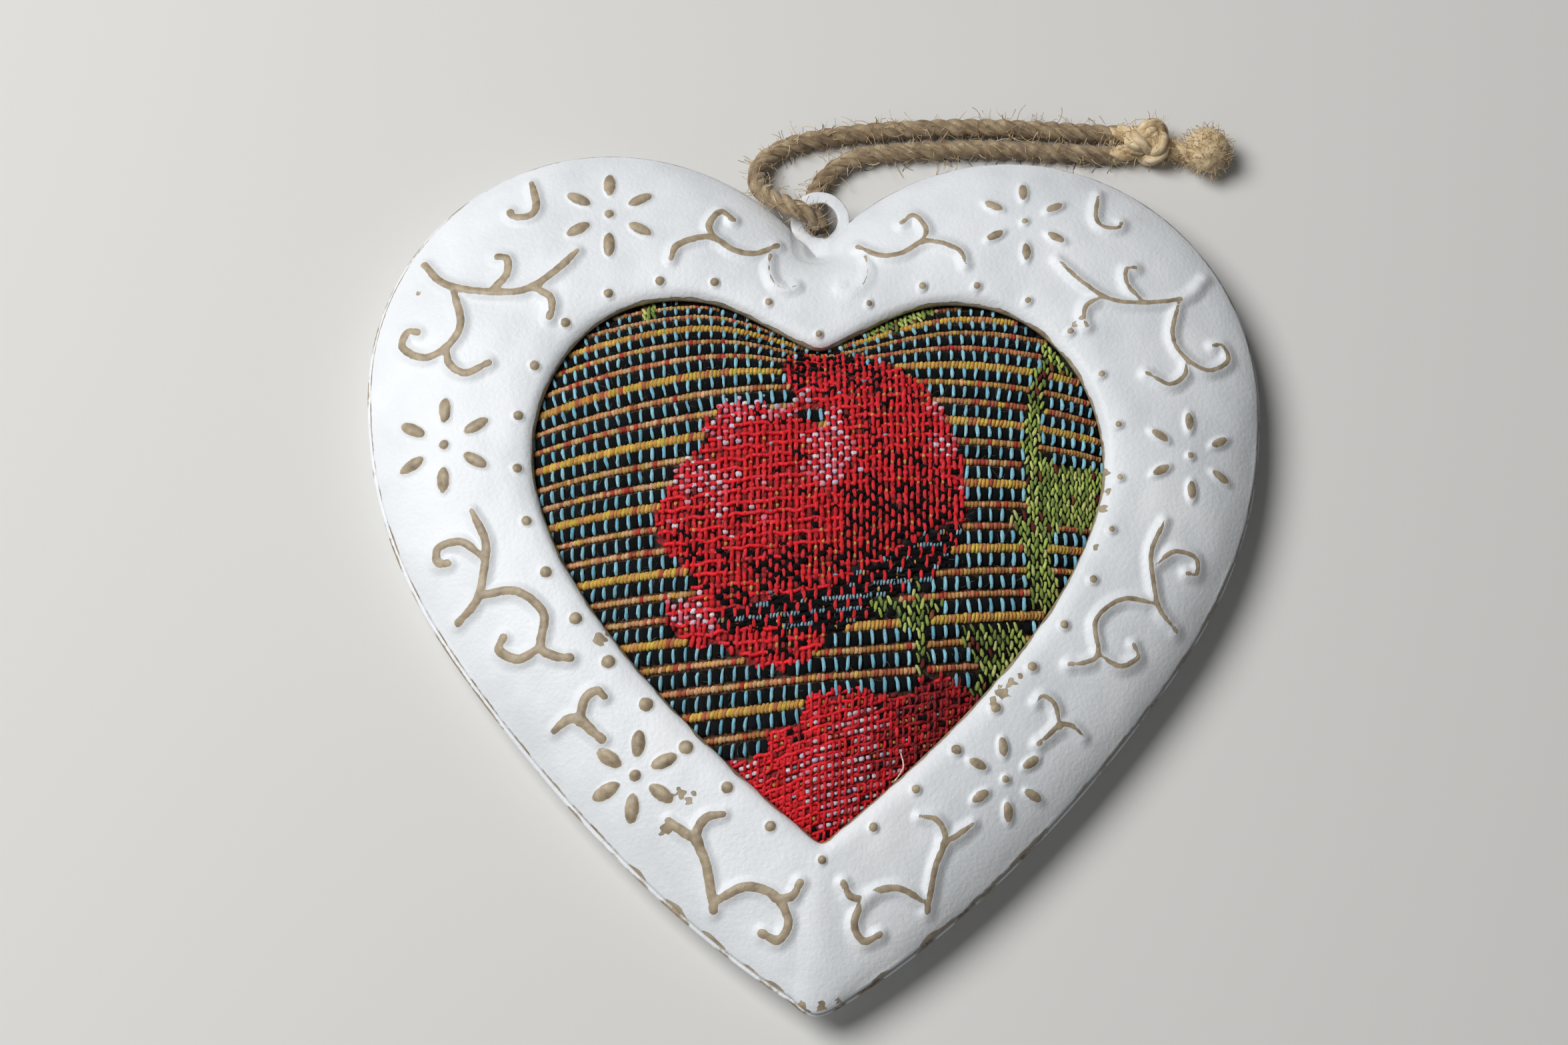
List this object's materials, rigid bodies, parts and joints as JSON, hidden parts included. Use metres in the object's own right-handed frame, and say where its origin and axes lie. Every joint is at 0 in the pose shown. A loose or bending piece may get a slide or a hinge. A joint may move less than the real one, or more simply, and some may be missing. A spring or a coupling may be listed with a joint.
{
  "type": "fabric covered metal heart",
  "caption": "Heart-shaped hanging ornament: a pressed metal frame with raised scrolls and flowers round a padded fabric cushion, with a flat eye and a looped twine.",
  "frame": {"origin": "middle of the lowest plane of the heart, on the flat of its back, twine left out", "axes": "+Z out of the face that carries the cushion, -Y towards the heart's tip, +X to the right as the face is seen with the tip down"},
  "size_m": [0.1, 0.1066, 0.0153],
  "materials": {
    "back_shell": "chalky white paint on pressed tin",
    "front_shell": "chalky white paint rubbed through to tan on the raised work",
    "fabric_cushion": "woven cloth with black, blue, ochre and red threads",
    "hanging_eye": "chalky white paint",
    "twine_over": "natural twisted jute",
    "twine_under": "natural twisted jute",
    "twine_knot": "natural twisted jute",
    "twine_tuft": "frayed jute"
  },
  "bodies": {
    "root": {"back_shell": "back_shell", "front_shell": "front_shell", "fabric_cushion": "fabric_cushion", "hanging_eye": "hanging_eye", "twine_over": "twine_over", "twine_under": "twine_under", "twine_knot": "twine_knot", "twine_tuft": "twine_tuft"}
  },
  "joints": []
}
